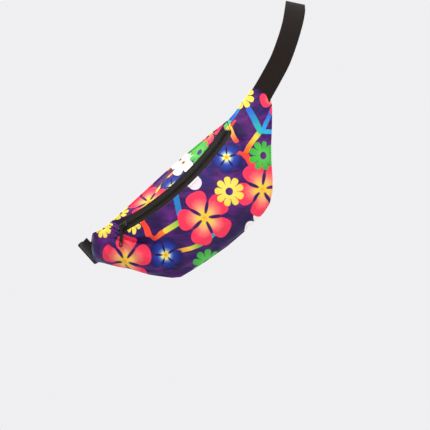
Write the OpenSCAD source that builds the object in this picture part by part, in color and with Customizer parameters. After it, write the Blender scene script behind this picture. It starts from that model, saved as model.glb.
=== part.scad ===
// Waist pack, worn across the body: a printed bag with two wings, a curved coil zip
// and a webbing strap that closes in a side-release buckle.
// +X runs along the pack, -Y is its printed front and +Z is up. The origin is the centre
// of the back pad's flat rear face.

/* [Bag] */
// Half length of the straight middle of the back
flat_half = 110; // [100:1:118]
// Radius of the left wing's wrap round the wearer's side
left_wrap_r = 87; // [80:1:100]
// Radius of the right wing's wrap
right_wrap_r = 400; // [300:10:600]
// How far the front panel swells out of its straight line
belly = 27; // [16:1:30]
// Swell of a wing
wing_swell = 6; // [5.5:0.1:7]
// Thickness of the outer fabric with its backing
fabric_t = 1.4; // [1:0.1:1.5]
// Thickness of the back pad
pad_t = 8; // [6:0.5:8]

/* [Zip] */
// Radius of the zip's arc
zip_r = 239; // [236:1:242]
// Tilt of the arc's plane and of the tapes
zip_tilt = 27.2; // [26:0.1:28]
// Half width of zip that shows between the fabric's edges
zip_show = 12; // [11:0.5:13]
// Width of one tape
tape_w = 16; // [15:0.5:17]
// Width of one coil
coil_w = 2.6; // [2.2:0.1:2.8]
// Height of the coils
coil_h = 2.2; // [1.8:0.1:2.4]
// Length of the puller
tab_len = 40; // [34:1:42]
// Width of the puller
tab_w = 7; // [6:0.5:7]

/* [Webbing] */
// Width of the webbing
web_w = 38; // [36:0.5:38]
// Thickness of the webbing
web_t = 1.5; // [1.2:0.1:1.6]

/* [Buckle] */
// Width of the buckle
buckle_w = 50; // [49:0.5:52]
// Thickness of the buckle
buckle_t = 12; // [11.5:0.5:13]
// Depth of the socket's cavity
socket_depth = 24; // [24:0.5:25]

/* [Hidden] */
$fn = 48;

print_purple = "#5a1e6e";
black_web = "#2e2523";
black_plastic = "#1d1c1e";
dark_metal = "#4a4648";
mesh_black = "#2b2a2c";
lining_grey = "#55505a";

back_t = 1.2;
lining_t = 0.5;
lining_gap = 0.35;
tape_t = 0.6;
chain_gap = 0.7;
back_front_d = pad_t + back_t;
seam_d = back_front_d - 0.2;

// Outline of the pack laid flat: height of the lower and of the upper edge along it
lower_edge = [
    [-214, 50], [-205, 46], [-193, 38], [-157, 0], [-137, -32], [-112, -64], [-100, -73], [-80, -77],
    [-50, -82], [0, -88], [60, -89.5], [90, -87], [108, -82], [125, -70], [140, -54], [160, -28],
    [180, -5], [200, 15], [225, 41], [233, 51], [238, 61]
];
upper_edge = [
    [-214, 57], [-190, 78], [-166, 92], [-155, 89], [-140, 84], [-110, 84], [0, 85], [60, 84], [110, 82],
    [140, 80], [155, 79], [170, 81], [200, 88], [224, 93], [233, 84], [238, 75]
];

// Stations along the pack: left wing, the stretch with the zip, right wing
tip_left = -214;
tip_right = 238;
zip_left = -129;
zip_right = 146;
wing_steps = 11;
mid_steps = 28;
rows = 12;
top_rows = 4;
mid_first = wing_steps + 1;
mid_last = mid_first + mid_steps;
stations = concat(
    [for (i = [0:wing_steps]) tip_left + i * (zip_left - 5 - tip_left) / wing_steps],
    [for (i = [0:mid_steps]) zip_left + i * (zip_right - zip_left) / mid_steps],
    [for (i = [0:wing_steps]) zip_right + 4 + i * (tip_right - zip_right - 4) / wing_steps]
);

// Centre and ends of the zip's arc
zip_centre = [8, 162.5, 158.2];
zip_from = -123.65;
zip_to = -56.35;
slider_phi = zip_from + 3.4;
fabric_x_left = -130.3;
fabric_x_right = 146.3;
top_x_left = -118.5;
top_x_right = 134.5;

// Buckle and webbing on the left side, straight along Y
side_x = -207;
side_z = 76;
bar_y = 99;
bar_r = 2;
socket_y = bar_y + 8;
mouth_y = socket_y + socket_depth + 2;
latch_y = mouth_y + 4;
latch_z = 13.5;
ladder_y = mouth_y + 13;
ladder_pitch = 12;
tail_end_y = 226;

// ---- Shape of the wearer's side and of the bag's surfaces ----

// Point at distance u along the back, height z and distance d out from the wearer
function wrap(u, z, d) =
    u < -flat_half ?
        let (r = left_wrap_r, a = (-flat_half - u) / r * 180 / PI)
        [-flat_half - (r + d) * sin(a), r - (r + d) * cos(a), z]
    : u > flat_half ?
        let (r = right_wrap_r, a = (u - flat_half) / r * 180 / PI)
        [flat_half + (r + d) * sin(a), r - (r + d) * cos(a), z]
    : [u, -d, z];

// Outward direction at distance u
function outward(u) = wrap(u, 0, 1) - wrap(u, 0, 0);

// Point of the zip's strip: angle along the arc, s up across the tape, h out of it
function zip_point(phi, s, h) =
    let (r = zip_r - s * cos(zip_tilt) + h * sin(zip_tilt))
    let (a = s * sin(zip_tilt) + h * cos(zip_tilt))
    zip_centre + [
        r * cos(phi),
        r * sin(phi) * cos(zip_tilt) - a * sin(zip_tilt),
        r * sin(phi) * sin(zip_tilt) + a * cos(zip_tilt)
    ];

// Angle along the arc at which the line at s across the tape passes x
function zip_angle(x, s) = -acos((x - zip_centre[0]) / (zip_r - s * cos(zip_tilt)));

function mix(a, b, t) = a + (b - a) * t;
function clamp01(t) = min(1, max(0, t));
function fullness(u) = pow(cos(90 * min(1, abs(u) / 195)), 0.8);
function tip_fade(u) = mix(0.35, 1, clamp01((u - tip_left) / 12) * clamp01((tip_right - u) / 12));

function foot_point(u) = wrap(u, lookup(u, lower_edge), seam_d);
function head_point(i) =
    let (u = stations[i])
    (i < mid_first || i > mid_last) ? wrap(u, lookup(u, upper_edge), seam_d)
    : let (x = mix(fabric_x_left, fabric_x_right, (i - mid_first) / mid_steps))
      zip_point(zip_angle(x, -zip_show), -zip_show, 0.5);

// Front panel at station i, t of the way from its lower seam to the zip or the top seam
function front_point(i, t) =
    let (u = stations[i], w = fullness(u))
    let (swell = (belly * w + wing_swell * (1 - w)) * tip_fade(u))
    mix(foot_point(u), head_point(i), t) + outward(u) * swell * pow(sin(180 * t), mix(0.42, 0.75, w));

// Top panel at station i, t of the way from the zip to the top seam
function top_point(i, t) =
    let (u = stations[i], f = (i - mid_first) / mid_steps)
    let (x = mix(top_x_left, top_x_right, f))
    let (seam_u = mix(zip_left + 4, zip_right - 4, f))
    mix(zip_point(zip_angle(x, zip_show), zip_show, 0.5), wrap(seam_u, lookup(seam_u, upper_edge), seam_d), t)
        + [0, -0.6, 0.8] * 3 * sin(180 * t) * sin(180 * f);

front_grid = [for (i = [0:len(stations) - 1]) [for (j = [0:rows]) front_point(i, j / rows)]];
top_grid = [for (i = [mid_first:mid_last]) [for (j = [0:top_rows]) top_point(i, j / top_rows)]];

// ---- Solids from grids and routes ----

function unit(v) = v / norm(v);
function grid_normal(g, i, j) =
    unit(cross(
        g[min(i + 1, len(g) - 1)][j] - g[max(i - 1, 0)][j],
        g[i][min(j + 1, len(g[0]) - 1)] - g[i][max(j - 1, 0)]
    ));

// The grid moved out along its own normals
function offset_grid(g, d) = [
    for (i = [0:len(g) - 1]) [for (j = [0:len(g[0]) - 1]) g[i][j] + grid_normal(g, i, j) * d]
];

// Closed solid between two grids of the same size, the outer one first
module between(outer, inner) {
    n = len(outer);
    m = len(outer[0]);
    function at(layer, i, j) = layer * n * m + i * m + j;
    points = concat([for (row = outer) each row], [for (row = inner) each row]);
    skin = [
        for (i = [0:n - 2], j = [0:m - 2]) each [
            [at(0, i, j), at(0, i, j + 1), at(0, i + 1, j + 1)],
            [at(0, i, j), at(0, i + 1, j + 1), at(0, i + 1, j)],
            [at(1, i, j), at(1, i + 1, j + 1), at(1, i, j + 1)],
            [at(1, i, j), at(1, i + 1, j), at(1, i + 1, j + 1)]
        ]
    ];
    long_rims = [
        for (i = [0:n - 2]) each [
            [at(0, i, 0), at(0, i + 1, 0), at(1, i + 1, 0)],
            [at(0, i, 0), at(1, i + 1, 0), at(1, i, 0)],
            [at(0, i, m - 1), at(1, i, m - 1), at(1, i + 1, m - 1)],
            [at(0, i, m - 1), at(1, i + 1, m - 1), at(0, i + 1, m - 1)]
        ]
    ];
    end_rims = [
        for (j = [0:m - 2]) each [
            [at(0, 0, j), at(1, 0, j + 1), at(0, 0, j + 1)],
            [at(0, 0, j), at(1, 0, j), at(1, 0, j + 1)],
            [at(0, n - 1, j), at(0, n - 1, j + 1), at(1, n - 1, j + 1)],
            [at(0, n - 1, j), at(1, n - 1, j + 1), at(1, n - 1, j)]
        ]
    ];
    polyhedron(points, concat(skin, long_rims, end_rims), convexity = 8);
}

// Flat layer that follows the wearer's side between two heights at each station
module layer(us, low, high, d_out, d_in, steps = 1) {
    function sheet(d) = [
        for (u = us) [for (j = [0:steps]) wrap(u, mix(low(u), high(u), j / steps), d)]
    ];
    between(sheet(d_out), sheet(d_in));
}

function low_line(inset) = function (u) lookup(u, lower_edge) + inset;
function high_line(inset) = function (u) lookup(u, upper_edge) - inset;

// Strip of webbing along a route of [x, y, z, lean], the lean tipping its width towards -X
module webbing(route) {
    n = len(route);
    function place(i) = [route[i][0], route[i][1], route[i][2]];
    function along(i) = unit(place(min(i + 1, n - 1)) - place(max(i - 1, 0)));
    function across(i) =
        let (up = [-sin(route[i][3]), 0, cos(route[i][3])], t = along(i))
        unit(up - t * (up * t));
    function edge(i, side, face) =
        place(i) + across(i) * side * web_w / 2 + unit(cross(along(i), across(i))) * face * web_t / 2;
    between(
        [for (i = [0:n - 1]) [edge(i, -1, 1), edge(i, 1, 1)]],
        [for (i = [0:n - 1]) [edge(i, -1, -1), edge(i, 1, -1)]]
    );
}

// Smooth curve through hand-placed points, with extra points between each two
function spline(p, cuts) = [
    for (i = [0:len(p) - 2], k = [0:cuts - 1])
        let (a = p[max(i - 1, 0)], b = p[i], c = p[i + 1], d = p[min(i + 2, len(p) - 1)], t = k / cuts)
        0.5 * (2 * b + (c - a) * t + (2 * a - 5 * b + 4 * c - d) * t * t + (3 * b - a - 3 * c + d) * t * t * t)
];

// ---- Fabric ----

module front_panel() {
    color(print_purple)
    between(front_grid, offset_grid(front_grid, -fabric_t));
}

module top_panel() {
    color(print_purple)
    between(top_grid, offset_grid(top_grid, -fabric_t));
}

module back_panel() {
    color(mesh_black)
    layer(stations, low_line(0), high_line(0), back_front_d, pad_t);
}

// Corner points of the pad's outline with its corners rounded to radius r
function pad_corner(c, from, r) = [for (k = [0:6]) c + r * [cos(from + 15 * k), sin(from + 15 * k)]];

module back_pad() {
    half_top = 104;
    half_low = 84;
    color(mesh_black)
    rotate([90, 0, 0])
    linear_extrude(pad_t)
    polygon(concat(
        pad_corner([half_top - 20, 54], 0, 20),
        pad_corner([20 - half_top, 54], 90, 20),
        pad_corner([18 - half_low, -48], 180, 18),
        pad_corner([half_low - 18, -48], 270, 18)
    ));
}

// Lining behind the front panel, between the zip's ends
module front_lining() {
    inner = [for (i = [mid_first + 1:mid_last - 1]) [for (j = [1:rows - 1]) front_grid[i][j]]];
    color(lining_grey)
    between(
        offset_grid(inner, -fabric_t - lining_gap),
        offset_grid(inner, -fabric_t - lining_gap - lining_t)
    );
}

module back_lining() {
    us = [for (i = [mid_first + 1:mid_last - 1]) stations[i]];
    d = back_front_d + lining_gap;
    color(lining_grey)
    layer(us, low_line(14), high_line(10), d + lining_t, d);
}

// Binding tape along the lower seam, inside
module seam_binding() {
    us = [for (i = [mid_first + 1:mid_last - 1]) stations[i]];
    d = back_front_d + 0.1;
    color(lining_grey)
    layer(us, low_line(5), low_line(12), d + 0.8, d);
}

module wing_foam(us) {
    d = back_front_d + 0.4;
    color("#8a8a8a")
    layer(us, low_line(9), high_line(9), d + 1.2, d);
}

module wing_foam_left() {
    wing_foam([for (k = [0:5]) -181 + k * 8]);
}

module wing_foam_right() {
    wing_foam([for (k = [0:5]) 154 + k * 9]);
}

// ---- Zip ----

// Strip of the zip swept along its arc: from s1 to s2 across it and from h1 to h2 out of it
module zip_strip(s1, s2, h1, h2, from = zip_from, to = zip_to) {
    function corner(s, h) = [
        zip_r - s * cos(zip_tilt) + h * sin(zip_tilt),
        s * sin(zip_tilt) + h * cos(zip_tilt)
    ];
    translate(zip_centre)
    rotate([zip_tilt, 0, 0])
    rotate([0, 0, from])
    rotate_extrude(angle = to - from, $fn = 180)
    polygon([corner(s1, h1), corner(s2, h1), corner(s2, h2), corner(s1, h2)]);
}

module zip_tape_upper() {
    color(black_plastic)
    zip_strip(chain_gap, tape_w, -tape_t, 0);
}

module zip_tape_lower() {
    color(black_plastic)
    zip_strip(-tape_w, -chain_gap, -tape_t, 0);
}

module zip_coil_upper() {
    color(black_plastic)
    zip_strip(chain_gap, chain_gap + coil_w, 0, coil_h, zip_from + 0.8, zip_to - 0.8);
}

module zip_coil_lower() {
    color(black_plastic)
    zip_strip(-chain_gap - coil_w, -chain_gap, 0, coil_h, zip_from + 0.8, zip_to - 0.8);
}

// Two top stops at the left end and one bottom stop at the right end
module zip_stops() {
    color(dark_metal) {
        zip_strip(chain_gap, chain_gap + coil_w + 0.6, 0, coil_h + 0.4, zip_from + 0.3, zip_from + 0.8);
        zip_strip(-chain_gap - coil_w - 0.6, -chain_gap, 0, coil_h + 0.4, zip_from + 0.3, zip_from + 0.8);
        zip_strip(-chain_gap - coil_w, chain_gap + coil_w, 0, coil_h + 0.5, zip_to - 0.8, zip_to - 0.2);
    }
}

// Folded fabric tabs over the two ends of the tapes
module zip_end_tabs() {
    color(print_purple) {
        zip_strip(-zip_show, zip_show, -tape_t - 1, coil_h * 0.6, zip_from - 1.2, zip_from - 0.05);
        zip_strip(-zip_show, zip_show, -tape_t - 1, coil_h * 0.6, zip_to + 0.05, zip_to + 1.2);
    }
}

// Frame of the slider: X down across the tape, Y along the zip to the right, Z out of it
module at_slider() {
    translate(zip_centre)
    rotate([zip_tilt, 0, 0])
    rotate([0, 0, slider_phi])
    translate([zip_r, 0, 0])
    rotate([0, zip_tilt, 0])
    children();
}

slider_l = 15;
slider_w = 11;
plate_t = 1.3;
plate_z = coil_h + 0.5;
arch_z = 7;
arch_half = 4.6;
pull_turn = -22;
ring_r = 2.45;
ring_wire = 0.45;
ring_x = 1.1;
ring_z = arch_z + 0.55;

// Rounded plate of the slider between two heights, narrower towards the open side
module slider_plate(z, t) {
    translate([0, 0, z])
    linear_extrude(t)
    union() {
        square([slider_w - 3, slider_l], center = true);
        square([slider_w, slider_l - 3], center = true);
        for (x = [-1, 1], y = [-1, 1])
            translate([x * (slider_w / 2 - 1.5), y * (slider_l / 2 - 1.5)]) circle(1.5);
    }
}

module slider_body() {
    rail_x = chain_gap + coil_w + 0.6;
    color(dark_metal)
    at_slider() {
        slider_plate(plate_z, plate_t);
        slider_plate(-tape_t - 0.4 - plate_t, plate_t);
        for (side = [-1, 1])
            translate([side * (rail_x + slider_w / 2) / 2, 0, plate_z / 2 + 0.3])
            cube([slider_w / 2 - rail_x, slider_l - 4, plate_z - 0.2], center = true);
        translate([-0.35, -slider_l / 2 + 1.5, -tape_t - 0.5])
        cube([0.7, 3, plate_z + tape_t + 0.6]);
    }
}

// Arch along the slider that the ring hangs on
module slider_bridge() {
    foot_z = plate_z + plate_t - 0.2;
    color(dark_metal)
    at_slider() {
        translate([0, 0, arch_z]) rotate([90, 0, 0]) cylinder(r = 0.6, h = 2 * arch_half, center = true);
        for (side = [-1, 1])
            translate([0, side * arch_half, foot_z]) cylinder(r = 0.7, h = arch_z - foot_z + 0.55);
    }
}

// Frame of the pull: turned about the arch's middle so that it hangs down and to the left
module at_pull() {
    at_slider()
    rotate([0, 0, pull_turn])
    children();
}

module pull_ring() {
    color(dark_metal)
    at_pull()
    translate([ring_x, 0, ring_z])
    rotate([90, 0, 0])
    rotate_extrude($fn = 64)
    translate([ring_r, 0])
    circle(ring_wire, $fn = 24);
}

// Flat puller with a small eye for the ring and a slot near its far end, tipped to the fabric
module pull_tab() {
    eye = 2.6;
    thick = 1.5;
    tip = 10;
    bar_in = 1.7;
    color(black_plastic)
    at_pull()
    translate([ring_x, 0, ring_z])
    rotate([0, tip, 0])
    translate([ring_r, 0, -thick / 2])
    linear_extrude(thick)
    difference() {
        union() {
            translate([-bar_in, -tab_w / 2 + 1]) square([tab_len - 2, tab_w - 2]);
            translate([-bar_in + 0.2, -tab_w / 2]) square([tab_len - 4, tab_w]);
            translate([tab_len - 4.5, 0]) circle(tab_w / 2);
        }
        translate([-0.8, -eye / 2]) square([1.9, eye]);
        translate([tab_len - 9, 0]) circle(1.5);
        translate([tab_len - 5, 0]) circle(1.5);
        translate([tab_len - 9, -1.5]) square([4, 3]);
    }
}

// ---- Webbing ----

// Route of the strap: out of the right wing, over the shoulder, round the back to the side
strap_curve = [
    [214, 3.6, 68, 10], [229, 7.4, 73.5, 16], [240, 11, 77.5, 20], [265, 19, 86, 22], [300, 28, 99, 26],
    [335, 42, 117, 30], [365, 62, 135, 34], [391, 91, 154, 36], [407, 123, 166, 36], [413, 156, 169, 36],
    [408, 189, 160, 34], [386, 221, 143, 32], [342, 244, 120, 26], [292, 259, 101, 20], [242, 267, 86, 14],
    [190, 271, 73, 8], [130, 272, 66, 4], [60, 272, 64, 0], [-10, 272, 66, 0], [-60, 271, 70, 0],
    [-105, 269, 76, 0], [-145, 264, 80, 0], [-178, 254, 82, 0], [-198, 242, 79, 0],
    [side_x + 1, 228, side_z, 0]
];
lay = web_t / 2 + 0.25;
turn_r = bar_r + 0.2 + web_t / 2;
strap_turn = concat(
    [[side_x + lay, 228, side_z, 0], [side_x + lay, 180, side_z, 0]],
    [[side_x + turn_r, ladder_y + ladder_pitch + 4, side_z, 0]],
    [for (a = [0:30:180]) [side_x + turn_r * cos(a), ladder_y - turn_r * sin(a), side_z, 0]],
    [[side_x - turn_r, ladder_y + ladder_pitch + 4, side_z, 0]],
    [[side_x - lay, 180, side_z, 0], [side_x - lay, tail_end_y, side_z, 0]]
);

module strap() {
    color(black_web)
    webbing(concat(spline(strap_curve, 3), strap_turn));
}

// Elastic loop round the strap and its tail
module strap_keeper() {
    wall = 1.2;
    gap_x = 4.4;
    gap_z = web_w + 1;
    length = 10;
    color("#26201f")
    translate([side_x, 201, side_z])
    difference() {
        cube([gap_x + 2 * wall, length, gap_z + 2 * wall], center = true);
        cube([gap_x, length + 1, gap_z], center = true);
    }
}

// Loop of webbing from inside the left wing round the socket's bar and back
module anchor_webbing() {
    d = back_front_d + 0.2 + web_t / 2;
    loop = [side_x, bar_y];
    route = concat(
        [for (u = [-184:-6:-244]) wrap(u, 0, d)],
        [[side_x - 0.4, 90], [side_x - turn_r + 0.3, 95]],
        [for (a = [180:30:360]) [loop[0] + turn_r * cos(a), loop[1] - turn_r * sin(a)]],
        [[side_x + 2.1, 92], [side_x + 2.3, 80]]
    );
    color(black_web)
    webbing([for (p = route) [p[0], p[1], side_z, 0]]);
}

// Stitch bars through the webbing's layers
module bartacks() {
    color("#171416")
    for (z = [-14, 0, 14])
        translate([side_x + 0.4, 81, side_z + z]) cube([3.6, 1.6, 9], center = true);
    color("#171416")
    translate([side_x - lay, tail_end_y - 4, side_z]) cube([web_t + 0.5, 1.4, web_w - 6], center = true);
}

// ---- Buckle ----

// Block with its four long edges rounded, from y1 to y2 along Y, centred in X and Z
module buckle_block(size_x, size_z, y1, y2, r) {
    translate([side_x, y2, side_z])
    rotate([90, 0, 0])
    linear_extrude(y2 - y1) {
        square([size_x - 2 * r, size_z], center = true);
        square([size_x, size_z - 2 * r], center = true);
        for (x = [-1, 1], z = [-1, 1])
            translate([x * (size_x / 2 - r), z * (size_z / 2 - r)]) circle(r);
    }
}

// Round bar across the webbing's slot
module web_bar(y, half) {
    translate([side_x, y, side_z]) cylinder(r = bar_r, h = 2 * half, center = true);
}

module socket_frame() {
    half = web_w / 2 + 1.2;
    for (side = [-1, 1])
        translate([side_x, (bar_y + socket_y) / 2, side_z + side * (half + 1.7)])
        cube([2 * bar_r, socket_y - bar_y + 2 * bar_r, 3.4], center = true);
    web_bar(bar_y, half + 1);
}

module buckle_socket() {
    arm_gap = 7.2;
    wall_z = 3;
    window = 14;
    color(black_plastic)
    union() {
        difference() {
            buckle_block(buckle_t, buckle_w, socket_y, mouth_y, 3);
            translate([side_x, mouth_y - socket_depth / 2 + 0.5, side_z])
            cube([arm_gap, socket_depth + 1, buckle_w - 2 * wall_z], center = true);
            translate([side_x, mouth_y - 8 - window / 2, side_z])
            cube([arm_gap, window, buckle_w + 2], center = true);
        }
        socket_frame();
    }
}

// Male half: flange, guide rail between the arms and the ladder that locks the strap
module buckle_plug() {
    half = web_w / 2 + 1.2;
    flange_y = mouth_y + 0.4;
    rear_y = ladder_y + ladder_pitch;
    color(black_plastic) {
        difference() {
            buckle_block(buckle_t, buckle_w, flange_y, flange_y + 8, 3);
            for (side = [-1, 1])
                translate([side_x, latch_y, side_z + side * latch_z]) rotate([0, 90, 0])
                cylinder(r = 2.3, h = buckle_t + 1, center = true);
            for (side = [-1, 1])
                translate([side_x, latch_y - 3, side_z + side * latch_z])
                cube([buckle_t + 1, 6, 6.8], center = true);
        }
        translate([side_x, mouth_y - 9, side_z]) cube([5, 19.4, 8], center = true);
        for (side = [-1, 1])
            translate([side_x, (flange_y + 7 + rear_y + bar_r) / 2, side_z + side * (half + 1.7)])
            cube([6, rear_y + bar_r - flange_y - 7, 3.4], center = true);
        web_bar(ladder_y, half + 1);
        web_bar(rear_y, half + 1);
    }
}

// Springy arm that hinges at the flange; its head fills the socket's side window
module latch_arm_upper() {
    shoulder_y = mouth_y - 9.5;
    tip_y = mouth_y - 20.5;
    color(black_plastic)
    translate([side_x, 0, side_z])
    rotate([90, 0, 90])
    linear_extrude(6, center = true)
    polygon(concat(
        [for (a = [-90:15:90]) [latch_y + 2 * cos(a), latch_z + 2 * sin(a)]],
        [
            [shoulder_y + 0.5, latch_z + 3.2], [shoulder_y, buckle_w / 2 - 1],
            [tip_y + 2, buckle_w / 2 - 2.5], [tip_y, latch_z + 4], [tip_y + 1, latch_z + 1]
        ]
    ));
}

module latch_arm_lower() {
    translate([0, 0, 2 * side_z])
    mirror([0, 0, 1])
    latch_arm_upper();
}

front_panel();
top_panel();
back_panel();
back_pad();
front_lining();
back_lining();
seam_binding();
wing_foam_left();
wing_foam_right();
zip_tape_upper();
zip_tape_lower();
zip_coil_upper();
zip_coil_lower();
zip_stops();
zip_end_tabs();
slider_body();
slider_bridge();
pull_ring();
pull_tab();
strap();
strap_keeper();
anchor_webbing();
buckle_socket();
buckle_plug();
latch_arm_upper();
latch_arm_lower();
bartacks();
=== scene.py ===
"""Looks of the waist pack: printed cloth, coil zip, webbing, buckle and padded back.

Lengths are in millimetres until a mesh is made, as in the CAD model, and MM turns them into metres.
"""

import math

import bmesh
import bpy
import numpy as np
from mathutils import Matrix, Vector


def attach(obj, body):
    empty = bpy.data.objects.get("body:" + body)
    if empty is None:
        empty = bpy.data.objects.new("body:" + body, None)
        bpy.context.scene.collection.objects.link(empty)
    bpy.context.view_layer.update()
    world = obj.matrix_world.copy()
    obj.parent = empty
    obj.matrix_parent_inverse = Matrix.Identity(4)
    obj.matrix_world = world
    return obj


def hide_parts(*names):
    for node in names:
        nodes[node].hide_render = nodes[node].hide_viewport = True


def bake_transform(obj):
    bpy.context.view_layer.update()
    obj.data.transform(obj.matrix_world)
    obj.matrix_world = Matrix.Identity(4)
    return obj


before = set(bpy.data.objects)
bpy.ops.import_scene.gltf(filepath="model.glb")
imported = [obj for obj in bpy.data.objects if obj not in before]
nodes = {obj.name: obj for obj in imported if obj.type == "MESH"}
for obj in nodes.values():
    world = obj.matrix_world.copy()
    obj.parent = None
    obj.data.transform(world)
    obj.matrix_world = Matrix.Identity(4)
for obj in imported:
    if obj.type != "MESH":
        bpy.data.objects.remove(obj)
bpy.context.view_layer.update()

MM = 0.001

# ---- Driving dimensions, the CAD model's own but for the zip's opening and tape ----

FLAT_HALF = 110.0
LEFT_R, RIGHT_R = 87.0, 400.0
BELLY, WING_SWELL = 27.0, 6.0
FABRIC_T = 1.2
BACK_D, SEAM_D = 9.2, 9.0
ZIP_R, ZIP_TILT = 239.0, math.radians(27.2)
# The opening is 1 mm wider to each side than in the CAD, and the tape 2 mm narrower, to stay covered
ZIP_SHOW, TAPE_W = 13.0, 14.0
END_SHOW, END_ROUND = 6.5, 13.0
ZIP_CENTRE = np.array([8.0, 162.5, 158.2])
ZIP_FROM, ZIP_TO = math.radians(-123.65), math.radians(-56.35)
CHAIN_GAP = 0.7
TIP_LEFT, TIP_RIGHT, ZIP_LEFT, ZIP_RIGHT = -214.0, 238.0, -129.0, 146.0
WEB_W, WEB_T = 38.0, 1.5
SIDE_X, SIDE_Z, BAR_Y, BAR_R, MOUTH_Y = -207.0, 76.0, 99.0, 2.0, 133.0
LADDER_Y, LADDER_PITCH, TAIL_END_Y = MOUTH_Y + 13, 12.0, 226.0

LOWER_EDGE = [
    (-214, 50), (-205, 46), (-193, 38), (-157, 0), (-137, -32), (-112, -64), (-100, -73), (-80, -77),
    (-50, -82), (0, -88), (60, -89.5), (90, -87), (108, -82), (125, -70), (140, -54), (160, -28),
    (180, -5), (200, 15), (225, 41), (233, 51), (238, 61),
]
UPPER_EDGE = [
    (-214, 57), (-190, 78), (-166, 92), (-155, 89), (-140, 84), (-110, 84), (0, 85), (60, 84), (110, 82),
    (140, 80), (155, 79), (170, 81), (200, 88), (224, 93), (233, 84), (238, 75),
]


def edge(u, table):
    xs, zs = zip(*table)
    return np.interp(u, xs, zs)


def wrap(u, z, d):
    """Points at distance u along the wearer's side, height z and distance d out from it."""
    u, z, d = np.broadcast_arrays(np.asarray(u, float), np.asarray(z, float), np.asarray(d, float))
    left, right = u < -FLAT_HALF, u > FLAT_HALF
    r = np.where(left, LEFT_R, RIGHT_R)
    a = np.where(left, -FLAT_HALF - u, u - FLAT_HALF) / r
    side = np.where(left, -1.0, 1.0)
    x = np.where(left | right, side * (FLAT_HALF + (r + d) * np.sin(a)), u)
    y = np.where(left | right, r - (r + d) * np.cos(a), -d)
    return np.stack([x, y, z], -1)


def zip_point(phi, s, h):
    """Points of the zip: angle along its arc, s up across the tape and h out of it."""
    phi, s, h = np.broadcast_arrays(np.asarray(phi, float), np.asarray(s, float), np.asarray(h, float))
    c, k = math.cos(ZIP_TILT), math.sin(ZIP_TILT)
    r = ZIP_R - s * c + h * k
    a = s * k + h * c
    local = np.stack([r * np.cos(phi), r * np.sin(phi) * c - a * k, r * np.sin(phi) * k + a * c], -1)
    return ZIP_CENTRE + local


def opening(phi):
    """Half of the zip's opening in the cloth: full along its length and rounded at its ends."""
    inset = np.clip(np.minimum(phi - ZIP_FROM, ZIP_TO - phi) * ZIP_R / END_ROUND, 0, 1)
    return END_SHOW + (ZIP_SHOW - END_SHOW) * np.sqrt(1 - (1 - inset) ** 2)


def zip_angle(x, s):
    return -np.arccos((x - ZIP_CENTRE[0]) / (ZIP_R - s * math.cos(ZIP_TILT)))


def unit(v):
    return v / np.maximum(np.linalg.norm(v, axis=-1, keepdims=True), 1e-9)


def mix(a, b, t):
    return a + (b - a) * t


# ---- Meshes ----


def link(name, data):
    obj = bpy.data.objects.new(name, data)
    bpy.context.scene.collection.objects.link(obj)
    return obj


def give(data, mat):
    """Makes mat the only material of a mesh."""
    data.materials.clear()
    data.materials.append(mat)


def new_object(name, verts, faces, mat):
    mesh = bpy.data.meshes.new(name)
    mesh.from_pydata([tuple(v) for v in np.asarray(verts) * MM], [], faces)
    mesh.update()
    mesh.validate()
    mesh.shade_smooth()
    mesh.materials.append(mat)
    return link(name, mesh)


def read(mesh, key):
    """Places or normals of a mesh's vertices, one row each."""
    values = np.zeros(len(mesh.vertices) * 3)
    mesh.vertices.foreach_get(key, values)
    return values.reshape(-1, 3)


def move(obj, places):
    obj.data.vertices.foreach_set("co", places.ravel())
    obj.data.update()


def set_uv(obj, uv):
    """uv holds one pair for each vertex, in metres on the flat cloth."""
    layer = obj.data.uv_layers.new(name="flat")
    loops = np.zeros(len(obj.data.loops), np.int32)
    obj.data.loops.foreach_get("vertex_index", loops)
    layer.data.foreach_set("uv", np.asarray(uv, float)[loops].astype(np.float32).ravel())


def grid_uv(u, v):
    return np.stack(np.broadcast_arrays(u[:, None], v), -1)


def grid_faces(n, m, cols):
    """Faces between n rows of m points; m columns close the rows on themselves, and m - 1 don't."""
    return [
        (i * m + j, (i + 1) * m + j, (i + 1) * m + (j + 1) % m, i * m + (j + 1) % m)
        for i in range(n - 1)
        for j in range(cols)
    ]


def end_caps(n, m):
    """Faces that close the first and the last of n closed rows of m points."""
    return [tuple(range(m)), tuple((n - 1) * m + j for j in range(m))[::-1]]


def grid_object(name, points, uv, mat):
    """A sheet through an n by m grid of points."""
    n, m = points.shape[:2]
    obj = new_object(name, points.reshape(-1, 3), grid_faces(n, m, m - 1), mat)
    set_uv(obj, uv.reshape(-1, 2) * MM)
    return obj


def face_outward(obj):
    """Turns a closed mesh's faces to point out of it."""
    mesh = bmesh.new()
    mesh.from_mesh(obj.data)
    bmesh.ops.recalc_face_normals(mesh, faces=mesh.faces)
    mesh.to_mesh(obj.data)
    mesh.free()


def apply_modifiers(obj):
    graph = bpy.context.evaluated_depsgraph_get()
    mesh = bpy.data.meshes.new_from_object(obj.evaluated_get(graph), depsgraph=graph)
    old = obj.data
    obj.modifiers.clear()
    obj.data = mesh
    mesh.name = obj.name
    bpy.data.meshes.remove(old)


def thicken(obj, thickness, levels=0):
    """Smooths a sheet, if levels is set, and thickens it inwards."""
    if levels:
        sub = obj.modifiers.new("smooth", "SUBSURF")
        sub.levels = sub.render_levels = levels
    solid = obj.modifiers.new("thickness", "SOLIDIFY")
    solid.thickness = thickness * MM
    solid.offset = -1.0
    solid.use_even_offset = False
    apply_modifiers(obj)
    obj.data.shade_smooth()


TUBE_SEED = np.array([0.31, 0.22, 0.93])  # sets where a tube's rings start


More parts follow.
